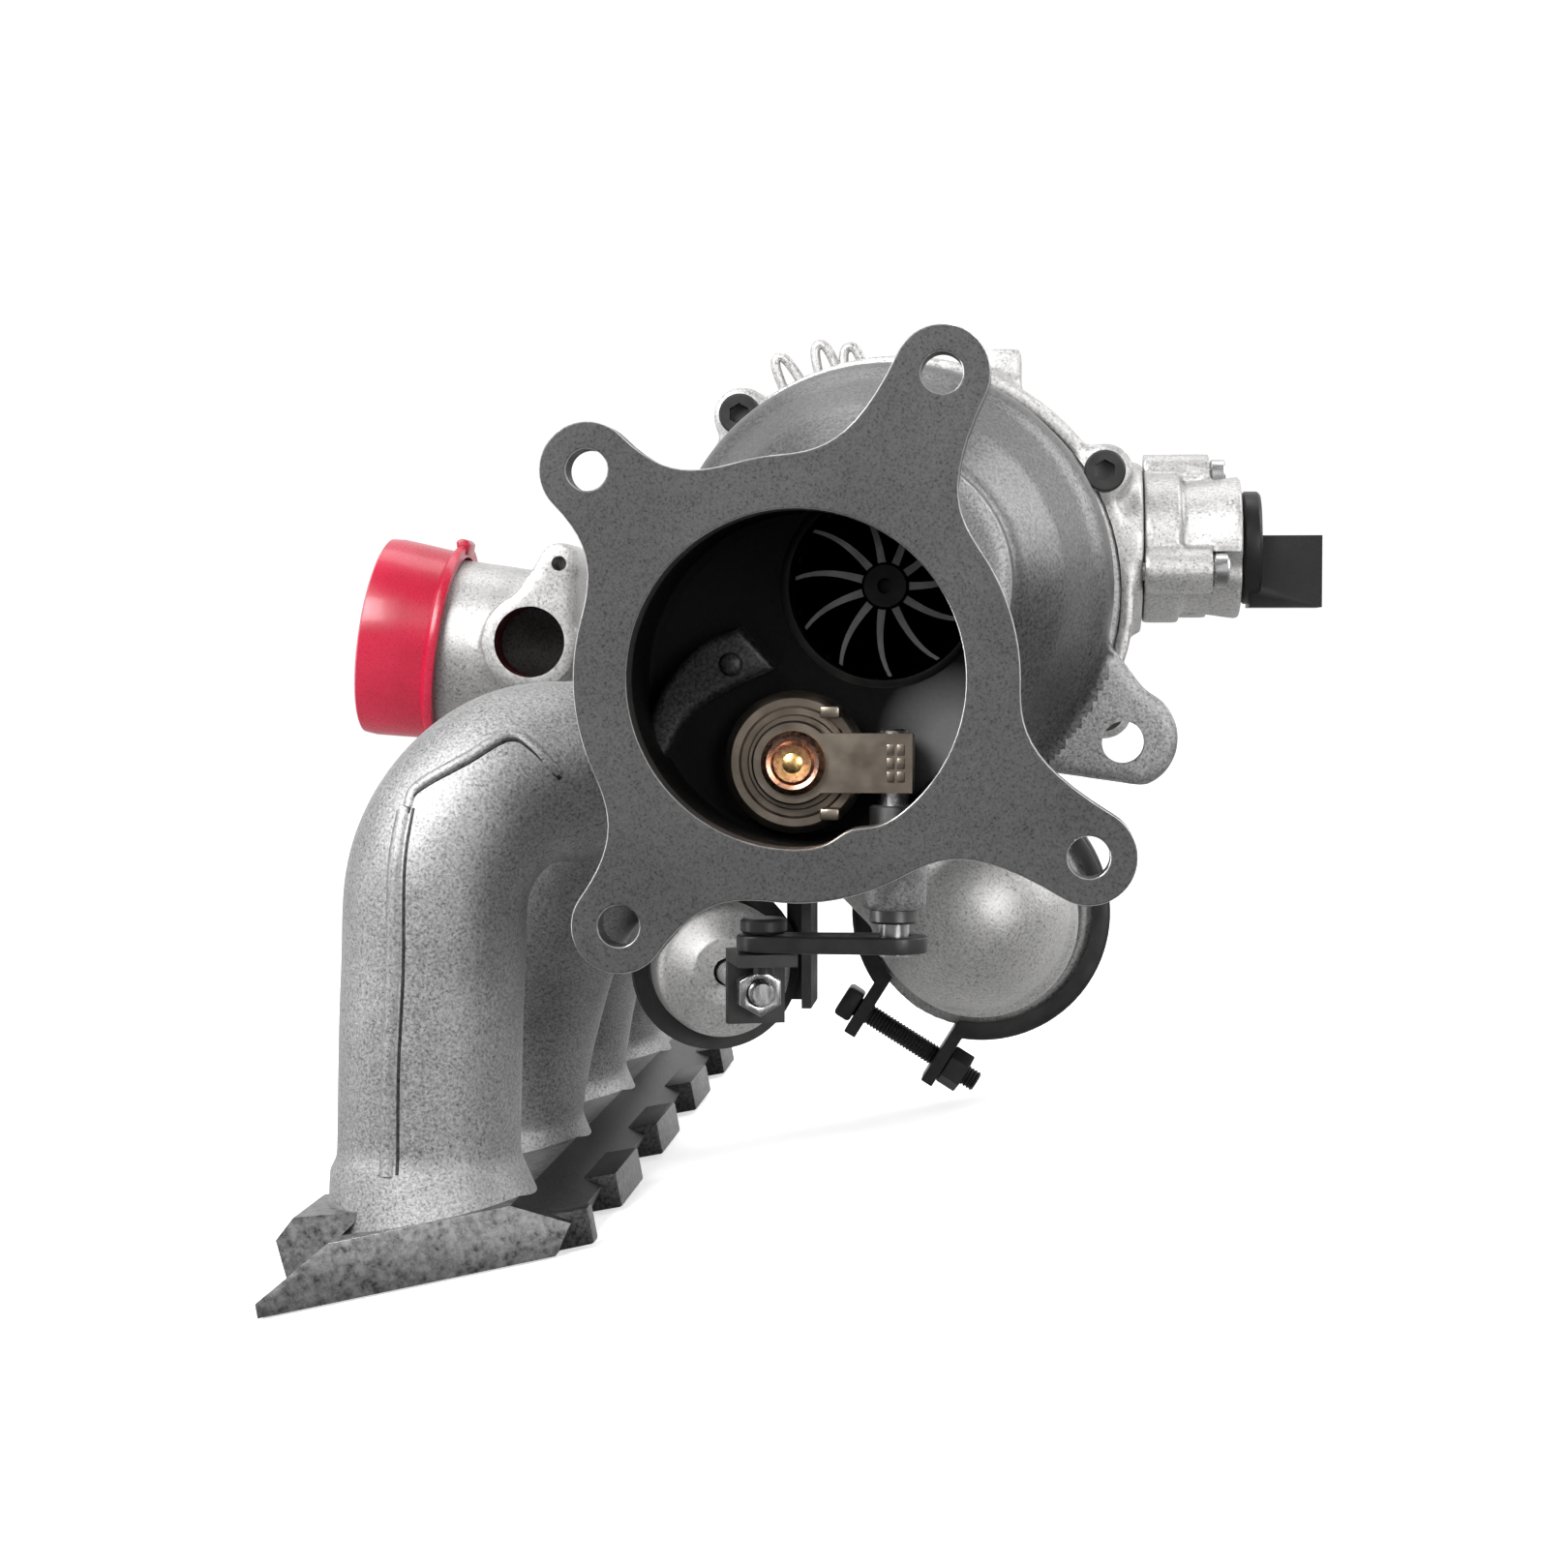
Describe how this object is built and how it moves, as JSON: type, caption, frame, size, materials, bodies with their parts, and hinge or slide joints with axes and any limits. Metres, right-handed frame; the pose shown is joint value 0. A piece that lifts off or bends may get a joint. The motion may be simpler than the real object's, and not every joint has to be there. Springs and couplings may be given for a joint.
{
  "type": "turbocharger with exhaust manifold",
  "caption": "Exhaust turbocharger cast together with its exhaust manifold: wastegate and actuator, diverter valve, clamped outlet spigot and a push-on cap on the inlet.",
  "frame": {"origin": "centre of the head flange's sealing face, on the metal between exhaust ports 2 and 3", "axes": "+Z away from the cylinder head, so the head flange lies in Z = 0; +Y along the rotor from turbine to compressor; +X from the manifold towards the turbo"},
  "size_m": [0.2881, 0.3629, 0.2038],
  "materials": {
    "cast_iron": "shot-blasted heat-resistant casting, grey and finely mottled",
    "cast_aluminium": "pale blasted aluminium casting",
    "machined_steel": "turned steel",
    "black_steel": "black coated steel",
    "heat_tinted": "heat-tinted steel, straw to brown",
    "copper_rivet": "heat-coloured rivet head, copper to blue",
    "wheel_alloy": "dark nickel-alloy casting",
    "bronze": "bearing bronze",
    "black_plastic": "fine-textured black plastic",
    "red_plastic": "translucent red push-on cap"
  },
  "bodies": {
    "housing": {"turbine_housing": "cast_iron", "outlet_flange": "cast_iron", "head_flange": "cast_iron", "manifold_collector": "cast_iron", "manifold_runner_1": "cast_iron", "manifold_runner_2": "cast_iron", "manifold_runner_3": "cast_iron", "manifold_runner_4": "cast_iron", "bearing_housing": "cast_iron", "compressor_cover": "cast_aluminium", "discharge_elbow": "cast_aluminium", "inlet_duct": "cast_aluminium", "compressor_backplate": "cast_aluminium", "discharge_spigot": "cast_aluminium", "diverter_valve_body": "cast_aluminium", "housing_clamp_band": "machined_steel", "oil_feed_union": "machined_steel", "oil_drain_flange": "machined_steel", "actuator_spring": "machined_steel", "actuator_front_shell": "machined_steel", "actuator_hose_nipple": "machined_steel", "wastegate_bush": "machined_steel", "diverter_screw_1": "machined_steel", "diverter_screw_2": "machined_steel", "diverter_screw_3": "machined_steel", "diverter_spring": "machined_steel", "cover_bolt_1": "black_steel", "cover_bolt_2": "black_steel", "cover_bolt_3": "black_steel", "cover_bolt_4": "black_steel", "discharge_band": "black_steel", "band_tee_bolt": "black_steel", "band_nut": "black_steel", "actuator_rear_shell": "black_steel", "actuator_bracket": "black_steel", "heat_shield": "heat_tinted", "turbine_bearing": "bronze", "compressor_bearing": "bronze", "thrust_bearing": "bronze", "diverter_solenoid": "black_plastic"},
    "rotor": {"turbine_wheel": "wheel_alloy", "rotor_shaft": "machined_steel", "compressor_wheel": "cast_aluminium", "thrust_collar": "machined_steel", "compressor_nut": "machined_steel"},
    "wastegate": {"wastegate_arm": "heat_tinted", "wastegate_flap": "heat_tinted", "wastegate_rivet": "copper_rivet", "wastegate_lever": "black_steel", "lever_pin": "black_steel"},
    "actuator_stem": {"actuator_rod": "machined_steel", "actuator_piston": "black_plastic", "rod_end_bracket": "black_steel", "rod_end_nut": "machined_steel", "rod_lock_nut": "machined_steel"},
    "valve_piston": {"diverter_piston": "black_plastic"},
    "cap": {"inlet_cap": "red_plastic"}
  },
  "joints": [
    {"name": "rotor_spin", "type": "hinge", "parent": "housing", "child": "rotor", "pos_m": [0.141, -0.1, 0.1418], "axis": [0, 1, 0], "continuous": true},
    {"name": "wastegate_hinge", "type": "hinge", "parent": "housing", "child": "wastegate", "pos_m": [0.13593, -0.145, 0.1], "axis": [0.1908, 0, 0.9816], "range_deg": [0, 28]},
    {"name": "actuator_stroke", "type": "slide", "parent": "housing", "child": "actuator_stem", "axis": [0.264, -0.9632, -0.0513], "range_m": [0, 0.0151], "stiffness_N_per_m": 20, "springref_m": -0.005},
    {"name": "diverter_lift", "type": "slide", "parent": "housing", "child": "valve_piston", "axis": [0.9816, 0, -0.1908], "range_m": [0, 0.008], "stiffness_N_per_m": 400, "springref_m": -0.005},
    {"name": "cap_pull", "type": "slide", "parent": "housing", "child": "cap", "axis": [-0.9426, 0, 0.3338], "range_m": [0, 0.025]}
  ],
  "couplings": [
    {"joint": "actuator_stroke", "follows": "wastegate_hinge", "m_per_rad": 0.03067}
  ]
}
